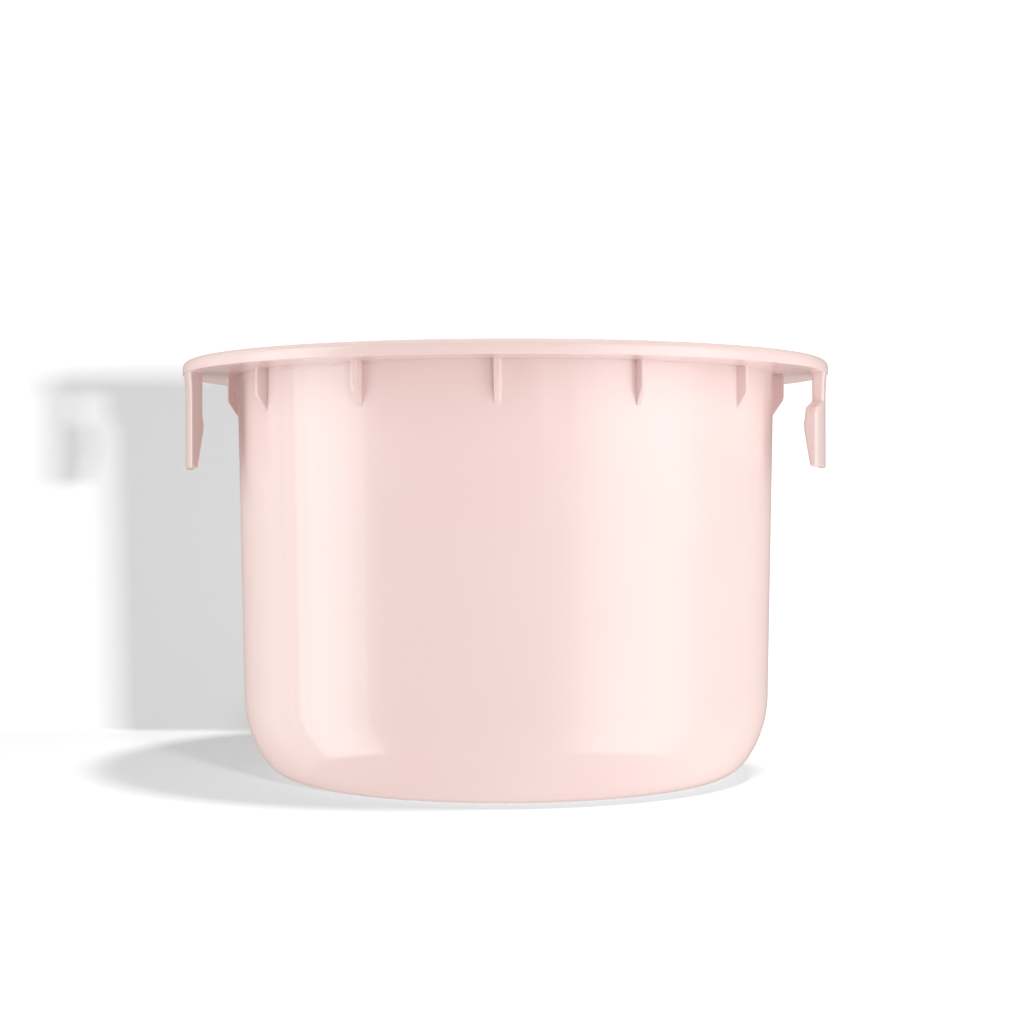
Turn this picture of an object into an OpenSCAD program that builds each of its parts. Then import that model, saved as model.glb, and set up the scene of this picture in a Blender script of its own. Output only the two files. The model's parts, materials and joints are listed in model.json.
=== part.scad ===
/* [Cup] */
// Height of the pot from its base to the top of its rim
pot_h = 37; // [33:0.5:42]
// Outer diameter of the cup, measured at the level of the rim's top
cup_top_d = 48.4; // [46:0.2:50]
// Slope of the cup wall, in degrees from upright
wall_draft = 1.15; // [0.5:0.05:2]
// Thickness of the cup wall, measured level
wall_t = 1.2; // [0.9:0.1:1.5]
// Thickness of the cup floor
floor_t = 1.2; // [0.9:0.1:1.5]

/* [Bottom corner] */
// Width of the rounded bottom corner, from the flat base to the wall
corner_w = 4.85; // [4.2:0.05:5.6]
// Height of the rounded bottom corner
corner_h = 7.15; // [6.6:0.05:8]
// Radius of the corner's lower arc, next to the flat base
toe_r = 3.7; // [3.2:0.05:3.9]

/* [Rim] */
// Distance that the rim stands out past the cup's diameter, all round
lip_w = 4.8; // [4.3:0.05:5.6]
// Thickness of the rim
rim_t = 1.2; // [1:0.1:1.6]
// Radius of the rim's upper outer edge
rim_edge_r = 0.7; // [0.2:0.05:0.8]
// Radius of the rim's lower outer edge
rim_under_r = 0.12; // [0.05:0.01:0.2]
// Radius of the edge round the mouth
mouth_edge_r = 0.4; // [0.1:0.05:0.6]

/* [Gussets] */
// Number of gussets round the cup
gusset_count = 13; // [9:1:13]
// Thickness of a gusset
gusset_t = 0.55; // [0.4:0.05:0.9]
// Distance that a gusset stands out from the wall, below the rim
gusset_reach = 0.9; // [0.6:0.05:1.4]
// Height of a gusset's upright edge, from the rim down to its corner
gusset_edge_h = 2.2; // [1.6:0.1:2.6]
// Height of a gusset, from the rim down to its foot on the wall
gusset_h = 3.55; // [3.2:0.05:4.4]
// Radius of a gusset's corner
gusset_corner_r = 0.8; // [0.3:0.1:1.5]

/* [Legs] */
// Angle between the front gusset and the middle of each leg, in degrees
leg_angle = 77.4; // [70:0.2:84]
// Depth of each leg below the rim's underside
leg_drop = 8.35; // [7:0.05:10]
// Distance from the rim's edge in to the legs' outer face
leg_inset = 0.24; // [0.15:0.01:0.4]
// Height over which the leg's root sweeps out to the rim's edge
root_h = 2.2; // [1.5:0.1:2.4]
// Width of a leg's stem
stem_w = 5.2; // [4:0.1:6.4]
// Thickness of a leg's stem
stem_t = 1; // [0.8:0.05:1]
// Height of a leg's stem below the rim
stem_h = 2.5; // [2.4:0.1:3.2]
// Width of a leg's catch, the part of its hook that is wider than the stem included
catch_w = 8.6; // [7.6:0.1:10]
// Thickness of a leg's catch at its thickest
catch_t = 1.1; // [1.05:0.01:1.3]
// Drop from the top of the catch to its thickest part
belly_drop = 2.3; // [1.8:0.1:2.8]
// Radius of the curve round the thickest part of the catch
belly_r = 3; // [2:0.1:4]
// Thickness of a leg's catch at its tip
tip_t = 0.6; // [0.4:0.05:0.8]
// Radius of the long edges of a leg's tip
tip_edge_r = 0.2; // [0.1:0.02:0.2]
// Radius of the two corners of a leg's tip
tip_corner_r = 0.35; // [0.2:0.05:0.9]
// Drop of the ledge on top of the catch, from the stem to the ledge's free end
ledge_drop = 0.6; // [0.2:0.1:1]
// Radius of the catch's upper free corner
catch_corner_r = 0.9; // [0.5:0.05:1.2]

/* [Hidden] */
$fn = 96;

pink = [0.95, 0.81, 0.79];
arc_steps = 8;
past = 1;              // how far a cutting shape runs past what it cuts
rim_r = cup_top_d / 2 + lip_w;
rim_under_z = pot_h - rim_t;

// The cup's outline: radii of its outer and inner faces at height z
function wall_r(z) = cup_top_d / 2 - (pot_h - z) * tan(wall_draft);
function inner_r(z) = wall_r(z) - wall_t;
// Radius of the flat base, where the rounded corner begins
base_r = wall_r(corner_h) - corner_w;

// Points on an arc about centre c, from angle a to angle b
function arc(c, r, a, b) = [
    for (i = [0 : arc_steps]) let (t = a + (b - a) * i / arc_steps) c + r * [cos(t), sin(t)]
];
// A corner of two arcs: the large one leaves the wall at point p along its slope, and the small
// one, of radius toe about point c, runs on into the flat
function two_arcs(p, c, toe) =
    let (
        out = [cos(wall_draft), -sin(wall_draft)],
        hip = ((p - c) * (p - c) - toe * toe) / (2 * ((p - c) * out - toe)),
        hip_c = p - hip * out,
        meet = atan2(c[1] - hip_c[1], c[0] - hip_c[0])
    )
    concat(arc(hip_c, hip, -wall_draft, meet), arc(c, toe, meet, -90));

corner_c = [base_r, toe_r];
corner_outside = two_arcs([wall_r(corner_h), corner_h], corner_c, toe_r);
corner_inside = two_arcs([inner_r(corner_h), corner_h], corner_c, toe_r - floor_t);
function reversed(list) = [for (i = [len(list) - 1 : -1 : 0]) list[i]];

// Gussets
gusset_r = wall_r(rim_under_z) + gusset_reach;
gusset_corner_z = rim_under_z - gusset_edge_h;
// Angle of the gusset's sloping edge from upright, and how far its rounded corner runs up and down
gusset_slope = atan(gusset_reach / (gusset_h - gusset_edge_h));
gusset_corner_run = gusset_corner_r * tan(gusset_slope / 2);

// Legs, drawn at the front of the pot and then turned to their places
leg_r = rim_r - leg_inset;
root_r = rim_r - rim_under_r;
root_curve_r = (root_h * root_h / (root_r - leg_r) + root_r - leg_r) / 2;
stem_in_r = leg_r - stem_t;
catch_in_r = leg_r - catch_t;
ledge_z = rim_under_z - stem_h;
tip_z = rim_under_z - leg_drop;
// Angle over which the belly's curve rises to the stem, and over which it falls to the ramp below
belly_rise = acos(1 - (catch_t - stem_t) / belly_r);
belly_fall = 8;
leg_free_x = -catch_w / 2;
leg_stem_x = catch_w / 2;
stem_free_x = leg_stem_x - stem_w;

module revolved(points) {
    rotate_extrude() polygon(points);
}

module cup_floor() {
    color(pink) cylinder(h = floor_t, r = base_r);
}

module cup_corner() {
    color(pink) revolved(concat(corner_outside, reversed(corner_inside)));
}

module cup_wall() {
    color(pink) revolved([
        [wall_r(corner_h), corner_h],
        [wall_r(rim_under_z), rim_under_z],
        [inner_r(rim_under_z), rim_under_z],
        [inner_r(corner_h), corner_h]
    ]);
}

module rim_flange() {
    mouth_r = inner_r(rim_under_z);
    color(pink) revolved(concat(
        [[mouth_r, rim_under_z]],
        arc([rim_r - rim_under_r, rim_under_z + rim_under_r], rim_under_r, -90, 0),
        arc([rim_r - rim_edge_r, pot_h - rim_edge_r], rim_edge_r, 0, 90),
        arc([mouth_r + mouth_edge_r, pot_h - mouth_edge_r], mouth_edge_r, 90, 180)
    ));
}

// One gusset: a thin upright web, cut to the slope of the wall. Gusset 0 is the front one.
module gusset(i) {
    buried_r = wall_r(rim_under_z) - wall_t / 2;
    corner_c = [gusset_r - gusset_corner_r, gusset_corner_z + gusset_corner_run];
    outline = concat(
        [[buried_r, rim_under_z], [gusset_r, rim_under_z]],
        arc(corner_c, gusset_corner_r, 0, -gusset_slope),
        [[buried_r, gusset_corner_z - (gusset_r - buried_r) / tan(gusset_slope)]]
    );
    color(pink) rotate([0, 0, i * 360 / gusset_count - 90]) difference() {
        rotate([90, 0, 0]) linear_extrude(gusset_t, center = true) polygon(outline);
        revolved([
            [0, 0],
            [wall_r(0), 0],
            [wall_r(pot_h + past), pot_h + past],
            [0, pot_h + past]
        ]);
    }
}

// A ring of the leg's cross-section, kept only inside an outline seen square on from outside
module leg_piece(section, outline) {
    intersection() {
        revolved(section);
        translate([0, -rim_r / 2, 0]) rotate([90, 0, 0]) linear_extrude(rim_r) polygon(outline);
    }
}

module leg_stem(side) {
    section = concat(
        [[stem_in_r, ledge_z], [leg_r, ledge_z]],
        [for (i = [0 : arc_steps])
            let (z = root_h * i / arc_steps)
            [leg_r + root_curve_r - sqrt(root_curve_r * root_curve_r - z * z), rim_under_z - root_h + z]
        ],
        [[stem_in_r, rim_under_z]]
    );
    outline = [
        [stem_free_x, ledge_z - past],
        [leg_stem_x, ledge_z - past],
        [leg_stem_x, rim_under_z + past],
        [stem_free_x, rim_under_z + past]
    ];
    color(pink) rotate([0, 0, side * leg_angle]) leg_piece(section, outline);
}

module leg_catch(side) {
    section = concat(
        [[stem_in_r, ledge_z]],
        arc([catch_in_r + belly_r, ledge_z - belly_drop], belly_r, 180 - belly_rise, 180 + belly_fall),
        arc([leg_r - tip_t + tip_edge_r, tip_z + tip_edge_r], tip_edge_r, 180, 270),
        arc([leg_r - tip_edge_r, tip_z + tip_edge_r], tip_edge_r, 270, 360),
        [[leg_r, ledge_z]]
    );
    corner = catch_corner_r;
    toe = tip_corner_r;
    outline = concat(
        [[leg_stem_x, ledge_z], [stem_free_x, ledge_z]],
        arc([leg_free_x + corner, ledge_z - ledge_drop - corner], corner, 90, 180),
        arc([leg_free_x + toe, tip_z + toe], toe, 180, 270),
        arc([leg_stem_x - toe, tip_z + toe], toe, 270, 360)
    );
    color(pink) rotate([0, 0, side * leg_angle]) leg_piece(section, outline);
}

cup_floor();
cup_corner();
cup_wall();
rim_flange();
gusset(0);  // gusset_01
gusset(1);  // gusset_02
gusset(2);  // gusset_03
gusset(3);  // gusset_04
gusset(4);  // gusset_05
gusset(5);  // gusset_06
gusset(6);  // gusset_07
gusset(7);  // gusset_08
gusset(8);  // gusset_09
gusset(9);  // gusset_10
gusset(10);  // gusset_11
gusset(11);  // gusset_12
gusset(12);  // gusset_13
leg_stem(-1);  // left_leg_stem
leg_catch(-1);  // left_leg_catch
leg_stem(1);  // right_leg_stem
leg_catch(1);  // right_leg_catch
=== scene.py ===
"""A drop-in pot of glossy pale pink plastic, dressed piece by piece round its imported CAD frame.

The pot is one injection moulding: a round cup, a flat rim, thirteen small gussets in the angle
between them, and two springy hooked legs below the rim's edge. All lengths are in metres.
"""

import json
import math
import bmesh
import bpy
from mathutils import Matrix, Vector

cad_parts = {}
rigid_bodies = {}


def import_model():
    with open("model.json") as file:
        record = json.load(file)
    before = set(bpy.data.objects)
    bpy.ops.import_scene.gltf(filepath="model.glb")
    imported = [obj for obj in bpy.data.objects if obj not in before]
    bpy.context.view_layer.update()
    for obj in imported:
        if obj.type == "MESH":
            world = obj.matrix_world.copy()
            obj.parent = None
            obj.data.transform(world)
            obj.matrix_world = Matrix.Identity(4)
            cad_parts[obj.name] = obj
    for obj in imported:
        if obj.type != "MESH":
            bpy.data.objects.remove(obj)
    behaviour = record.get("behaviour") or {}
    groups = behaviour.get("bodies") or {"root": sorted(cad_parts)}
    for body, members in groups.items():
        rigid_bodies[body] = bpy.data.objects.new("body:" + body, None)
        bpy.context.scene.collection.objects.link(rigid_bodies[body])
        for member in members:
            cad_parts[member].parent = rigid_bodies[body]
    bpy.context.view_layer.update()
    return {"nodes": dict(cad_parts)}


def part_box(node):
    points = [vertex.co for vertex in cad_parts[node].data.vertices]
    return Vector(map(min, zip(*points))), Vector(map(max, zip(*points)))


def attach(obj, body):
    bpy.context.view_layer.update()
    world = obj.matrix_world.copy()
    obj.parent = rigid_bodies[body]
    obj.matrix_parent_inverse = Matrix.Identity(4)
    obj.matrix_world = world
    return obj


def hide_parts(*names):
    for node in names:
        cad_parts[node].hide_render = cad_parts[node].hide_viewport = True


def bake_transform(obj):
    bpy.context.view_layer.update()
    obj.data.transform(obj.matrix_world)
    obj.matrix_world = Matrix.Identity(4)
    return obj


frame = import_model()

MM = 0.001

# ---------------------------------------------------------------- sizes, read from the frame


def reach(node):
    """The largest distance of a node from the pot's axis."""
    mesh = frame["nodes"][node].data
    return max(math.hypot(v.co.x, v.co.y) for v in mesh.vertices)


def inner_reach(node):
    """The smallest distance of a node from the pot's axis."""
    mesh = frame["nodes"][node].data
    return min(math.hypot(v.co.x, v.co.y) for v in mesh.vertices)


def low(node):
    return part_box(node)[0][2]


def high(node):
    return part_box(node)[1][2]


FLOOR_T = high("cup_floor")
BASE_R = reach("cup_floor")
CORNER_Z = high("cup_corner")
CORNER_R = reach("cup_corner")
RIM_UNDER = low("rim_flange")
POT_H = high("rim_flange")
WALL_TOP_R = reach("cup_wall")
RIM_R = reach("rim_flange")
MOUTH_R = inner_reach("rim_flange")
WALL_T = WALL_TOP_R - MOUTH_R
WALL_SLOPE = (WALL_TOP_R - CORNER_R) / (RIM_UNDER - CORNER_Z)
DRAFT = math.atan(WALL_SLOPE)
GUSSET_COUNT = sum(1 for name in frame["nodes"] if name.startswith("gusset_"))
GUSSET_R = reach("gusset_01")

# Sizes that the frame holds only in its curves
TOE_R = 3.7 * MM  # small arc of the bottom corner
RIM_EDGE_R = 0.7 * MM
RIM_UNDER_R = 0.12 * MM
MOUTH_EDGE_R = 0.4 * MM
GUSSET_EDGE_H = 2.2 * MM
GUSSET_H = 3.55 * MM
GUSSET_CORNER_R = 0.8 * MM
LEG_ANGLE = math.radians(77.4)
LEG_INSET = 0.24 * MM
LEG_W = 8.6 * MM
STEM_W = 5.2 * MM
STEM_T = 1.0 * MM
CATCH_T = 1.1 * MM
BELLY_DROP = 2.3 * MM
BELLY_R = 3.0 * MM
BELLY_FALL = math.radians(8)
TIP_T = 0.6 * MM
TIP_EDGE_R = 0.2 * MM
TIP_CORNER_R = 0.35 * MM
ROOT_H = 2.2 * MM
LEDGE_DROP = 0.6 * MM
CATCH_CORNER_R = 0.9 * MM

# Fine rounding that only the looks need
GUSSET_TOP_T = 0.6 * MM  # a gusset is a little thicker under the rim than at its foot
GUSSET_FOOT_T = 0.46 * MM
GUSSET_ROUND = 0.15 * MM
FOOT_FILLET = 0.05 * MM
LEG_ROUND = 0.2 * MM
ROOT_FILLET = 0.3 * MM
SUNK = 0.1 * MM  # how far a small part reaches into the one that carries it

TURN_STEPS = 288  # steps round the axis
ARC_STEPS = 12
SAME_POINT = 1e-7  # points closer than this are one point


def wall_r(z):
    """Radius of the cup's outer face at height z."""
    return WALL_TOP_R - (RIM_UNDER - z) * WALL_SLOPE


def turned(x, y, z, angle):
    """A point drawn at the front of the pot, turned counter-clockwise about the axis."""
    c, s = math.cos(angle), math.sin(angle)
    return (x * c - y * s, x * s + y * c, z)


# ---------------------------------------------------------------- outlines


def arc(centre, radius, start, end, steps=ARC_STEPS):
    """Points on an arc from angle start to angle end, in radians."""
    points = []
    for i in range(steps + 1):
        t = start + (end - start) * i / steps
        points.append((centre[0] + radius * math.cos(t), centre[1] + radius * math.sin(t)))
    return points


def line(a, b, steps):
    """Points after a, up to and including b."""
    return [
        (a[0] + (b[0] - a[0]) * i / steps, a[1] + (b[1] - a[1]) * i / steps)
        for i in range(1, steps + 1)
    ]


def two_arcs(p, c, toe):
    """The bottom corner: a large arc leaves the wall at p, and a small one runs into the flat."""
    out = (math.cos(DRAFT), -math.sin(DRAFT))
    to_p = (p[0] - c[0], p[1] - c[1])
    square = to_p[0] ** 2 + to_p[1] ** 2 - toe**2
    hip = square / (2 * (to_p[0] * out[0] + to_p[1] * out[1] - toe))
    hip_c = (p[0] - hip * out[0], p[1] - hip * out[1])
    meet = math.atan2(c[1] - hip_c[1], c[0] - hip_c[0])
    return arc(hip_c, hip, -DRAFT, meet, 24) + arc(c, toe, meet, -math.pi / 2)[1:]


# ---------------------------------------------------------------- mesh builders


def make_object(name, bm, material):
    bmesh.ops.remove_doubles(bm, verts=bm.verts, dist=SAME_POINT)
    bmesh.ops.recalc_face_normals(bm, faces=bm.faces)
    mesh = bpy.data.meshes.new(name)
    bm.to_mesh(mesh)
    bm.free()
    for polygon in mesh.polygons:
        polygon.use_smooth = True
    mesh.materials.append(material)
    obj = bpy.data.objects.new(name, mesh)
    bpy.context.scene.collection.objects.link(obj)
    return obj


def sharpen(obj, degrees):
    """Keep the edges crisp where two faces meet at more than this angle."""
    bm = bmesh.new()
    bm.from_mesh(obj.data)
    for edge in bm.edges:
        if len(edge.link_faces) == 2 and edge.calc_face_angle() > math.radians(degrees):
            edge.smooth = False
    bm.to_mesh(obj.data)
    bm.free()


def revolve(name, outline, material):
    """A solid of revolution from a closed outline of (radius, height) points."""
    bm = bmesh.new()
    rings = []
    for r, z in outline:
        if r < SAME_POINT:
            rings.append([bm.verts.new((0, 0, z))])
            continue
        ring = []
        for i in range(TURN_STEPS):
            a = 2 * math.pi * i / TURN_STEPS
            ring.append(bm.verts.new((r * math.cos(a), r * math.sin(a), z)))
        rings.append(ring)
    open_at_axis = outline[0][0] < SAME_POINT
    following = rings[1:] if open_at_axis else rings[1:] + rings[:1]
    for a, b in zip(rings, following):
        for i in range(TURN_STEPS):
            j = (i + 1) % TURN_STEPS
            if len(a) == 1:
                bm.faces.new((a[0], b[i], b[j]))
            elif len(b) == 1:
                bm.faces.new((a[i], a[j], b[0]))
            else:
                bm.faces.new((a[i], a[j], b[j], b[i]))
    return make_object(name, bm, material)


def loft(name, sections, material):
    """A solid through closed loops of points, with the same number of points in each."""
    bm = bmesh.new()
    loops = [[bm.verts.new(p) for p in section] for section in sections]
    count = len(loops[0])
    for a, b in zip(loops, loops[1:]):
        for i in range(count):
            j = (i + 1) % count
            bm.faces.new((a[i], a[j], b[j], b[i]))
    bm.faces.new(loops[0])
    bm.faces.new(list(reversed(loops[-1])))
    return make_object(name, bm, material)


# ---------------------------------------------------------------- material


PINK_LOW = (0.823, 0.669, 0.655, 1)  # the two ends of the flow clouding
PINK_HIGH = (0.839, 0.689, 0.673, 1)
PLASTIC_IOR = 1.54
ROUGHNESS = (0.09, 0.14)
RIPPLE_DEPTH = 0.03 * MM


def plastic_material():
    """Glossy moulded plastic: even pale pink with faint flow clouding and a very light ripple."""
    material = bpy.data.materials.new("pink_plastic")
    material.use_nodes = True
    nodes, links = material.node_tree.nodes, material.node_tree.links
    shader = nodes["Principled BSDF"]
    shader.inputs["IOR"].default_value = PLASTIC_IOR

    place = nodes.new("ShaderNodeTexCoord")
    cloud = nodes.new("ShaderNodeTexNoise")
    cloud.inputs["Scale"].default_value = 90
    cloud.inputs["Detail"].default_value = 3
    links.new(place.outputs["Object"], cloud.inputs["Vector"])
    tint = nodes.new("ShaderNodeValToRGB")
    tint.color_ramp.elements[0].position = 0.3
    tint.color_ramp.elements[0].color = PINK_LOW
    tint.color_ramp.elements[1].position = 0.7
    tint.color_ramp.elements[1].color = PINK_HIGH
    links.new(cloud.outputs["Fac"], tint.inputs["Fac"])
    links.new(tint.outputs["Color"], shader.inputs["Base Color"])

    grain = nodes.new("ShaderNodeTexNoise")
    grain.inputs["Scale"].default_value = 900
    grain.inputs["Detail"].default_value = 4
    links.new(place.outputs["Object"], grain.inputs["Vector"])
    gloss = nodes.new("ShaderNodeMapRange")
    gloss.inputs["To Min"].default_value, gloss.inputs["To Max"].default_value = ROUGHNESS
    links.new(grain.outputs["Fac"], gloss.inputs["Value"])
    links.new(gloss.outputs["Result"], shader.inputs["Roughness"])

    ripple = nodes.new("ShaderNodeTexNoise")
    ripple.inputs["Scale"].default_value = 160
    ripple.inputs["Detail"].default_value = 2
    links.new(place.outputs["Object"], ripple.inputs["Vector"])
    bump = nodes.new("ShaderNodeBump")
    bump.inputs["Strength"].default_value = 0.25
    bump.inputs["Distance"].default_value = RIPPLE_DEPTH
    links.new(ripple.outputs["Fac"], bump.inputs["Height"])
    links.new(bump.outputs["Normal"], shader.inputs["Normal"])
    return material


plastic = plastic_material()

# ---------------------------------------------------------------- the cup


def make_cup():
    corner_c = (BASE_R, TOE_R)
    outside = two_arcs((CORNER_R, CORNER_Z), corner_c, TOE_R)
    inside = two_arcs((CORNER_R - WALL_T, CORNER_Z), corner_c, TOE_R - FLOOR_T)
    base = (BASE_R, 0)
    outline = [(0, 0)] + line((0, 0), base, 10)[:-1] + list(reversed(outside))
    outline += line((CORNER_R, CORNER_Z), (WALL_TOP_R, RIM_UNDER), 24)
    outline += [(MOUTH_R, RIM_UNDER)]
    outline += line((MOUTH_R, RIM_UNDER), (CORNER_R - WALL_T, CORNER_Z), 24)[:-1] + inside
    outline += line((BASE_R, FLOOR_T), (0, FLOOR_T), 10)
    cup = revolve("cup", outline, plastic)
    sharpen(cup, 40)
    return cup


cup = make_cup()
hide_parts("cup_floor", "cup_corner", "cup_wall")

# ---------------------------------------------------------------- the rim


def make_rim():
    outline = [(MOUTH_R, RIM_UNDER)]
    outline += line((MOUTH_R, RIM_UNDER), (RIM_R - RIM_UNDER_R, RIM_UNDER), 6)[:-1]
    outline += arc((RIM_R - RIM_UNDER_R, RIM_UNDER + RIM_UNDER_R), RIM_UNDER_R, -math.pi / 2, 0, 5)
    outline += arc((RIM_R - RIM_EDGE_R, POT_H - RIM_EDGE_R), RIM_EDGE_R, 0, math.pi / 2)
    mouth_c = (MOUTH_R + MOUTH_EDGE_R, POT_H - MOUTH_EDGE_R)
    outline += line((RIM_R - RIM_EDGE_R, POT_H), (mouth_c[0], POT_H), 6)[:-1]
    outline += arc(mouth_c, MOUTH_EDGE_R, math.pi / 2, math.pi)
    rim = revolve("rim", outline, plastic)
    sharpen(rim, 40)
    return rim


rim = make_rim()
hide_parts("rim_flange")

# ---------------------------------------------------------------- the gussets

GUSSET_SLOPE = math.atan((GUSSET_R - WALL_TOP_R) / (GUSSET_H - GUSSET_EDGE_H))
GUSSET_CORNER_C = (
    GUSSET_R - GUSSET_CORNER_R,
    RIM_UNDER - GUSSET_EDGE_H + GUSSET_CORNER_R * math.tan(GUSSET_SLOPE / 2),
)
SLOPE_TOP_Z = GUSSET_CORNER_C[1] - GUSSET_CORNER_R * math.sin(GUSSET_SLOPE)
SLOPE_TOP_R = GUSSET_CORNER_C[0] + GUSSET_CORNER_R * math.cos(GUSSET_SLOPE)


def gusset_face(z):
    """Radius of a gusset's edge at height z: upright, then a rounded corner, then a slope."""
    if z >= GUSSET_CORNER_C[1]:
        return GUSSET_R
    if z >= SLOPE_TOP_Z:
        return GUSSET_CORNER_C[0] + math.sqrt(GUSSET_CORNER_R**2 - (z - GUSSET_CORNER_C[1]) ** 2)
    return SLOPE_TOP_R - (SLOPE_TOP_Z - z) * math.tan(GUSSET_SLOPE)


def gusset_section(z):
    """A level slice of a gusset at the front: a rounded tongue with a small fillet at its foot."""
    foot = wall_r(z) - SUNK
    face = gusset_face(z)
    down = (RIM_UNDER - z) / GUSSET_H
    half = (GUSSET_TOP_T + (GUSSET_FOOT_T - GUSSET_TOP_T) * down) / 2
    round_x, round_r = half - GUSSET_ROUND, face - GUSSET_ROUND
    fillet_c = (half + FOOT_FILLET, foot + SUNK + FOOT_FILLET)
    side = [(fillet_c[0], min(foot, round_r))]
    for x, r in arc(fillet_c, FOOT_FILLET, -math.pi / 2, -math.pi, 4):
        side.append((x, min(r, round_r)))
    side += arc((round_x, round_r), GUSSET_ROUND, 0, math.pi / 2, 8)
    left = [(-x, -r) for x, r in side]
    right = [(x, -r) for x, r in reversed(side)]
    return [(x, y, z) for x, y in left + right]


def make_gusset(index):
    name = f"gusset_piece_{index + 1:02d}"
    corner_z = GUSSET_CORNER_C[1]
    end_z = RIM_UNDER - GUSSET_H - 3 * SUNK
    heights = [RIM_UNDER + SUNK, RIM_UNDER]
    heights += [RIM_UNDER + (corner_z - RIM_UNDER) * i / 8 for i in range(1, 9)]
    heights += [corner_z - GUSSET_CORNER_R * math.sin(GUSSET_SLOPE * i / 8) for i in range(1, 9)]
    heights += [SLOPE_TOP_Z + (end_z - SLOPE_TOP_Z) * i / 12 for i in range(1, 13)]
    angle = 2 * math.pi * index / GUSSET_COUNT
    sections = [
        [turned(x, y, z, angle) for x, y, z in gusset_section(height)] for height in heights
    ]
    gusset = loft(name, sections, plastic)
    sharpen(gusset, 50)
    return gusset


gussets = [make_gusset(i) for i in range(GUSSET_COUNT)]
for i, gusset in enumerate(gussets):
    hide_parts(f"gusset_{i + 1:02d}")

# ---------------------------------------------------------------- the legs

LEG_R = RIM_R - LEG_INSET
ROOT_R = RIM_R - RIM_UNDER_R
LEDGE_Z = high("right_leg_catch")
TIP_Z = low("right_leg_catch")
ROOT_CURVE_R = (ROOT_H**2 / (ROOT_R - LEG_R) + ROOT_R - LEG_R) / 2
STEM_SIDE = LEG_W / 2
STEM_FREE_SIDE = STEM_SIDE - STEM_W
BELLY_Z = LEDGE_Z - BELLY_DROP
BELLY_RISE = math.acos(1 - (CATCH_T - STEM_T) / BELLY_R)
RAMP_TOP_Z = BELLY_Z - BELLY_R * math.sin(BELLY_FALL)
RAMP_TOP_R = LEG_R - CATCH_T + BELLY_R * (1 - math.cos(BELLY_FALL))


def tip_inset(z, radius):
    """How far an edge or corner of this radius at a leg's tip has drawn in at height z."""
    below = TIP_Z + radius - z
    return radius - math.sqrt(max(0, radius**2 - below**2)) if below > 0 else 0


def leg_outer(z):
    """Radius of a leg's outer face at height z."""
    up = min(z - (RIM_UNDER - ROOT_H), ROOT_H)
    if up <= 0:
        return LEG_R - tip_inset(z, TIP_EDGE_R)
    return LEG_R + ROOT_CURVE_R - math.sqrt(ROOT_CURVE_R**2 - up**2)


def leg_inner(z):
    """Radius of a leg's inner face at height z: a ramp, a rounded belly, then the thinner stem."""
    ramp_end_z = TIP_Z + TIP_EDGE_R
    if z < ramp_end_z:
        return LEG_R - TIP_T + tip_inset(z, TIP_EDGE_R)
    if z < RAMP_TOP_Z:
        t = (z - ramp_end_z) / (RAMP_TOP_Z - ramp_end_z)
        return LEG_R - TIP_T + (RAMP_TOP_R - LEG_R + TIP_T) * t
    if z < BELLY_Z + BELLY_R * math.sin(BELLY_RISE):
        return LEG_R - CATCH_T + BELLY_R - math.sqrt(BELLY_R**2 - (z - BELLY_Z) ** 2)
    return LEG_R - STEM_T - root_spread(z)


def root_spread(z):
    """How far the stem spreads in a small fillet below the rim."""
    to_rim = RIM_UNDER - z
    if to_rim >= ROOT_FILLET:
        return 0
    to_rim = max(0, to_rim)
    return 0.5 * (ROOT_FILLET - math.sqrt(ROOT_FILLET**2 - (ROOT_FILLET - to_rim) ** 2))


def leg_sides(z):
    """The two ends of a leg's level slice, along its width."""
    corner = CATCH_CORNER_R
    free_side = -STEM_SIDE
    if z < TIP_Z + TIP_CORNER_R:
        inset = tip_inset(z, TIP_CORNER_R)
        return free_side + inset, STEM_SIDE - inset
    ledge_end = LEDGE_Z - LEDGE_DROP
    if z > LEDGE_Z:
        return STEM_FREE_SIDE - root_spread(z), STEM_SIDE + root_spread(z)
    if z > ledge_end:
        t = (z - ledge_end) / LEDGE_DROP
        return free_side + corner + (STEM_FREE_SIDE - free_side - corner) * t, STEM_SIDE
    if z > ledge_end - corner:
        inset = corner - math.sqrt(max(0, corner**2 - (z - ledge_end + corner) ** 2))
        return free_side + inset, STEM_SIDE
    return free_side, STEM_SIDE


def leg_section(z, angle):
    """A level slice of a leg: a curved bar with rounded corners."""
    x0, x1 = leg_sides(z)
    r_in, r_out = leg_inner(z), leg_outer(z)
    rounding = min(LEG_ROUND, 0.45 * (r_out - r_in), 0.45 * (x1 - x0))
    corners = [
        (x1 - rounding, r_out - rounding, math.pi / 2, 0),
        (x1 - rounding, r_in + rounding, 0, -math.pi / 2),
        (x0 + rounding, r_in + rounding, -math.pi / 2, -math.pi),
        (x0 + rounding, r_out - rounding, math.pi, math.pi / 2),
    ]
    flat = []
    for n, (cx, cr, start, end) in enumerate(corners):
        flat += arc((cx, cr), rounding, start, end, 5)
        nx, nr, nstart, _ = corners[(n + 1) % 4]
        following = (nx + rounding * math.cos(nstart), nr + rounding * math.sin(nstart))
        steps = 10 if n in (1, 3) else 3
        flat += line(flat[-1], following, steps)[:-1]
    return [turned(x, -math.sqrt(r**2 - x**2), z, angle) for x, r in flat]


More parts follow.
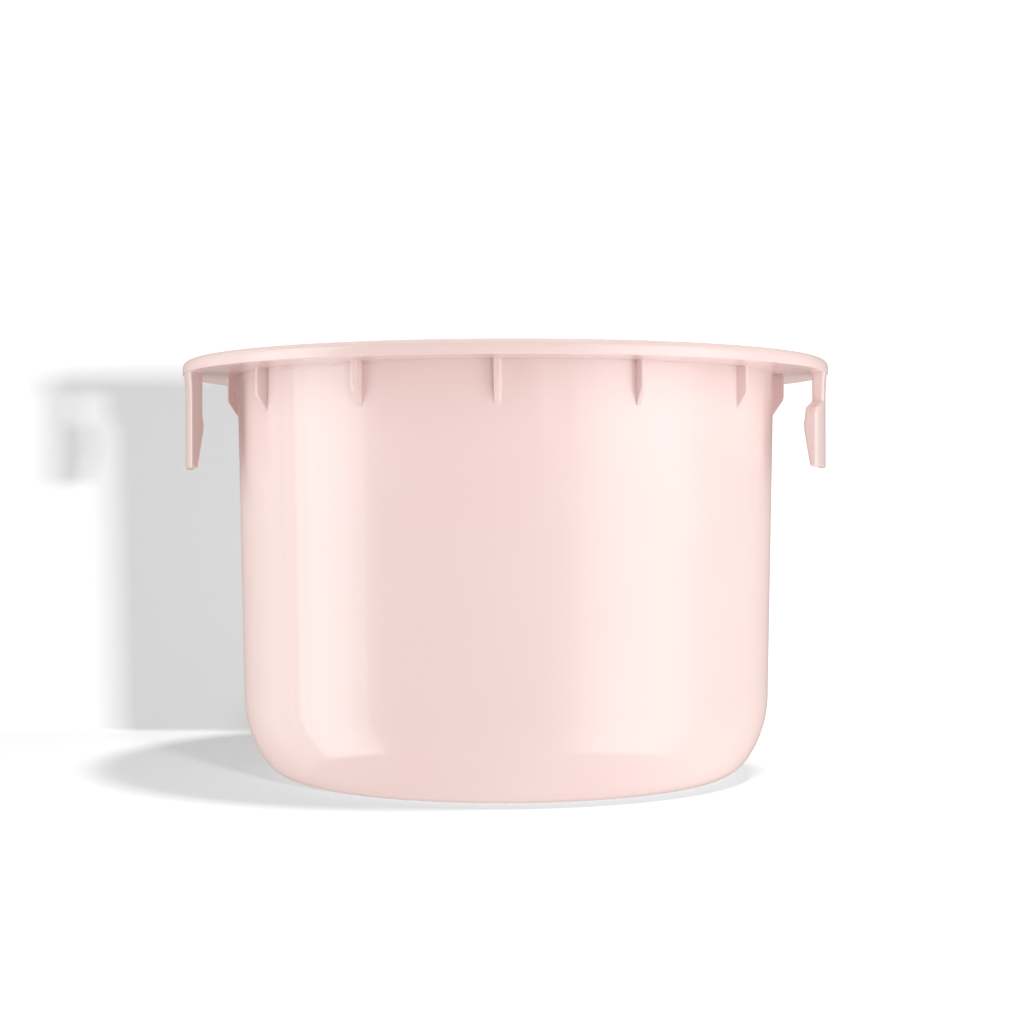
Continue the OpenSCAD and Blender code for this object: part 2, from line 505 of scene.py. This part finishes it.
def leg_heights():
    """Heights of a leg's slices from its root down, close together where its outline turns."""
    ledge_end = LEDGE_Z - LEDGE_DROP
    corner = CATCH_CORNER_R
    heights = [RIM_UNDER + SUNK]
    heights += [RIM_UNDER - ROOT_FILLET * (1 - math.cos(math.pi / 2 * i / 6)) for i in range(7)]
    start = RIM_UNDER - ROOT_FILLET
    heights += [start + (LEDGE_Z + 0.02 * MM - start) * i / 10 for i in range(1, 11)]
    heights += [LEDGE_Z - LEDGE_DROP * i / 8 for i in range(9)]
    heights += [ledge_end - corner * (1 - math.cos(math.pi / 2 * i / 8)) for i in range(1, 9)]
    start = ledge_end - corner
    end = TIP_Z + TIP_CORNER_R
    heights += [start + (end - start) * i / 20 for i in range(1, 21)]
    heights += [TIP_Z + TIP_CORNER_R * (1 - math.sin(math.pi / 2 * i / 12)) for i in range(1, 13)]
    return heights


def make_leg(name, side):
    angle = side * LEG_ANGLE
    leg = loft(name, [leg_section(z, angle) for z in leg_heights()], plastic)
    sharpen(leg, 35)
    return leg


legs = []
for side, label in ((-1, "left"), (1, "right")):
    leg = make_leg(f"{label}_leg_hook", side)
    legs.append(leg)
    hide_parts(f"{label}_leg_stem", f"{label}_leg_catch")
    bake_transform(leg)

for piece in [cup, rim] + gussets:
    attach(piece, "pot")

# ---------------------------------------------------------------- stage: floor and backdrop

WORLD_TINT = (1.0, 0.80, 0.74)  # the light all round has been through pink plastic
PAPER_TINT = (0.295, 0.37, 0.40)  # the stage is tinted the other way, so that it looks white
PAPER_GLOW = 0.42
PAPER_GLOW_COLOUR = (1, 0.985, 0.98, 1)
BACKDROP_Y = 30 * MM
STAGE_HALF = 400 * MM
SWEEP_R = 0.5 * MM


def stage_material():
    """White paper that keeps the pot's shadow. Only the camera sees it, and only from the front."""
    material = bpy.data.materials.new("stage_paper")
    material.use_nodes = True
    nodes, links = material.node_tree.nodes, material.node_tree.links
    nodes.clear()
    out = nodes.new("ShaderNodeOutputMaterial")
    paper = nodes.new("ShaderNodeBsdfDiffuse")
    paper.inputs["Color"].default_value = (*PAPER_TINT, 1)
    glow = nodes.new("ShaderNodeEmission")
    glow.inputs["Color"].default_value = PAPER_GLOW_COLOUR
    glow.inputs["Strength"].default_value = PAPER_GLOW
    lit = nodes.new("ShaderNodeAddShader")
    links.new(paper.outputs[0], lit.inputs[0])
    links.new(glow.outputs[0], lit.inputs[1])

    clear = nodes.new("ShaderNodeBsdfTransparent")
    rays = nodes.new("ShaderNodeLightPath")
    facing = nodes.new("ShaderNodeNewGeometry")
    front = nodes.new("ShaderNodeMath")
    front.operation = "SUBTRACT"
    front.use_clamp = True
    shown = nodes.new("ShaderNodeMixShader")
    links.new(rays.outputs["Is Camera Ray"], front.inputs[0])
    links.new(facing.outputs["Backfacing"], front.inputs[1])
    links.new(front.outputs[0], shown.inputs["Fac"])
    links.new(clear.outputs[0], shown.inputs[1])
    links.new(lit.outputs[0], shown.inputs[2])
    links.new(shown.outputs[0], out.inputs["Surface"])
    return material


def make_stage():
    """A floor that turns up into a wall just behind the pot."""
    outline = [(-STAGE_HALF, 0)]
    outline += arc((BACKDROP_Y - SWEEP_R, SWEEP_R), SWEEP_R, -math.pi / 2, 0)
    outline += [(BACKDROP_Y, STAGE_HALF)]
    bm = bmesh.new()
    ends = []
    for x in (-STAGE_HALF, STAGE_HALF):
        ends.append([bm.verts.new((x, y, z)) for y, z in outline])
    for i in range(len(outline) - 1):
        bm.faces.new((ends[0][i], ends[1][i], ends[1][i + 1], ends[0][i + 1]))
    mesh = bpy.data.meshes.new("stage")
    bm.to_mesh(mesh)
    bm.free()
    for polygon in mesh.polygons:
        polygon.use_smooth = True
    mesh.materials.append(stage_material())
    stage = bpy.data.objects.new("stage", mesh)
    bpy.context.scene.collection.objects.link(stage)
    return stage


stage = make_stage()

stage_only = bpy.data.collections.new("stage_only")
stage_only.objects.link(stage)
pieces_only = bpy.data.collections.new("pieces_only")
all_but_left_leg = bpy.data.collections.new("all_but_left_leg")
for piece in [cup, rim] + gussets + legs:
    pieces_only.objects.link(piece)
    if piece != legs[0]:
        all_but_left_leg.objects.link(piece)

# ---------------------------------------------------------------- lights and world

AIM = Vector((0, 0, 20 * MM))


def area_light(name, azimuth, height, distance, size, power, colour=(1, 1, 1), glossy=False):
    """A soft lamp aimed at the pot, of size (width, height).

    The azimuth is in degrees, from the front towards the right. Most lamps give no gloss: behind
    the pot that would draw white lines along its silhouette.
    """
    lamp = bpy.data.lights.new(name, "AREA")
    lamp.shape = "RECTANGLE"
    lamp.size, lamp.size_y = size
    lamp.energy = power
    lamp.color = colour
    obj = bpy.data.objects.new(name, lamp)
    bpy.context.scene.collection.objects.link(obj)
    a = math.radians(azimuth)
    place = Vector((distance * math.sin(a), -distance * math.cos(a), height))
    aimed = (place - AIM).to_track_quat("Z", "Y").to_matrix().to_4x4()
    obj.matrix_world = Matrix.Translation(place) @ aimed
    obj.visible_camera = False
    obj.visible_glossy = glossy
    return obj


area_light("key", azimuth=17, height=33.5 * MM, distance=0.15, size=(0.014, 0.014), power=0.026)
area_light("below", azimuth=90, height=-0.25, distance=0.06, size=(0.4, 0.4), power=0.42)
area_light("below_back", azimuth=150, height=-0.15, distance=0.2, size=(0.2, 0.2), power=0.35)
area_light("back_right", azimuth=150, height=0.03, distance=0.3, size=(0.25, 0.5), power=0.3)
area_light("back_left", azimuth=-155, height=0.03, distance=0.3, size=(0.25, 0.5), power=0.15)
area_light("top_back", azimuth=180, height=0.4, distance=0.15, size=(0.25, 0.25), power=0.9)

BOX_DISTANCE = 0.3
BOX_HEIGHT = 0.03
BOX_TALL = 0.5
BOX_STEP = 7.5  # degrees taken up by one lamp of a soft box
BOX_TINT = (0.94, 1.0, 1.0)
BOX_REACH = 1.5  # how far the lamps go on, in half widths


def soft_box(name, centre, half_width, power, sharpness=4):
    """A curved soft box: upright lamps side by side round the pot, fading towards its ends."""
    width = 2 * BOX_DISTANCE * math.tan(math.radians(BOX_STEP / 2))
    count = math.ceil(BOX_REACH * half_width / BOX_STEP)
    for i in range(-count, count + 1):
        share = math.exp(-((abs(i) * BOX_STEP / half_width) ** sharpness))
        area_light(
            f"{name}_{i + count}",
            azimuth=centre + i * BOX_STEP,
            height=BOX_HEIGHT,
            distance=BOX_DISTANCE,
            size=(width, BOX_TALL),
            power=power * share,
            colour=BOX_TINT,
            glossy=True,
        )


soft_box("left_box", centre=-75, half_width=19, power=0.178)
soft_box("left_fill", centre=-108, half_width=14, power=0.035, sharpness=2)
soft_box("right_box", centre=56, half_width=27, power=0.122)

# The stage has two lamps of its own, which throw the pot's shadow on the wall and on the floor
area_light(
    "stage_side",
    azimuth=21.8,
    height=32.5 * MM,
    distance=0.215,
    size=(0.02, 0.01),
    power=1.05,
    colour=WORLD_TINT,
)
area_light(
    "stage_top",
    azimuth=48,
    height=0.7,
    distance=0.2,
    size=(0.08, 0.08),
    power=6.9,
    colour=WORLD_TINT,
)

# The stage's lamps light nothing but the stage, and the front and right ones spare the left leg
for obj in list(bpy.context.scene.objects):
    if obj.type != "LIGHT":
        continue
    if obj.name.startswith("stage"):
        obj.light_linking.receiver_collection = stage_only
    elif obj.name.startswith(("key", "right_box")):
        obj.light_linking.receiver_collection = all_but_left_leg
    else:
        obj.light_linking.receiver_collection = pieces_only

WORLD_LEVEL = 0.46


def make_world():
    """Even soft light all round; the camera sees plain white."""
    world = bpy.data.worlds.new("studio")
    bpy.context.scene.world = world
    world.use_nodes = True
    nodes, links = world.node_tree.nodes, world.node_tree.links
    back = nodes["Background"]
    tint = nodes.new("ShaderNodeMixRGB")
    tint.inputs["Color1"].default_value = (*WORLD_TINT, 1)
    tint.inputs["Color2"].default_value = (1, 1, 1, 1)
    rays = nodes.new("ShaderNodeLightPath")
    level = nodes.new("ShaderNodeMapRange")
    level.inputs["To Min"].default_value = WORLD_LEVEL
    level.inputs["To Max"].default_value = 1.0
    links.new(rays.outputs["Is Camera Ray"], level.inputs["Value"])
    links.new(level.outputs["Result"], back.inputs["Strength"])
    links.new(rays.outputs["Is Camera Ray"], tint.inputs["Fac"])
    links.new(tint.outputs["Color"], back.inputs["Color"])


make_world()

# ---------------------------------------------------------------- camera

CAMERA_TURN = math.radians(1.5)  # the front gusset is this far to the left of the view
CAMERA_DISTANCE = 178.5 * MM
CAMERA_HEIGHT = 24.24 * MM
CAMERA_SIDE = -0.067 * MM
CAMERA_ROLL = math.radians(0.13)
CAMERA_LENS = 69.9  # millimetres on a 36 mm wide sensor


def make_camera():
    data = bpy.data.cameras.new("camera")
    data.lens = CAMERA_LENS
    data.sensor_width = 36
    data.clip_start = 0.01
    camera = bpy.data.objects.new("camera", data)
    bpy.context.scene.collection.objects.link(camera)
    back = Vector((math.sin(CAMERA_TURN), -math.cos(CAMERA_TURN), 0))
    right = Vector((math.cos(CAMERA_TURN), math.sin(CAMERA_TURN), 0))
    up = Vector((0, 0, 1))
    place = back * CAMERA_DISTANCE + right * CAMERA_SIDE + up * CAMERA_HEIGHT
    c, s = math.cos(CAMERA_ROLL), math.sin(CAMERA_ROLL)
    rolled_right = c * right - s * up
    rolled_up = s * right + c * up
    camera.matrix_world = Matrix(
        (
            (rolled_right.x, rolled_up.x, back.x, place.x),
            (rolled_right.y, rolled_up.y, back.y, place.y),
            (rolled_right.z, rolled_up.z, back.z, place.z),
            (0, 0, 0, 1),
        )
    )
    bpy.context.scene.camera = camera


make_camera()

bpy.context.scene.view_settings.view_transform = "Standard"
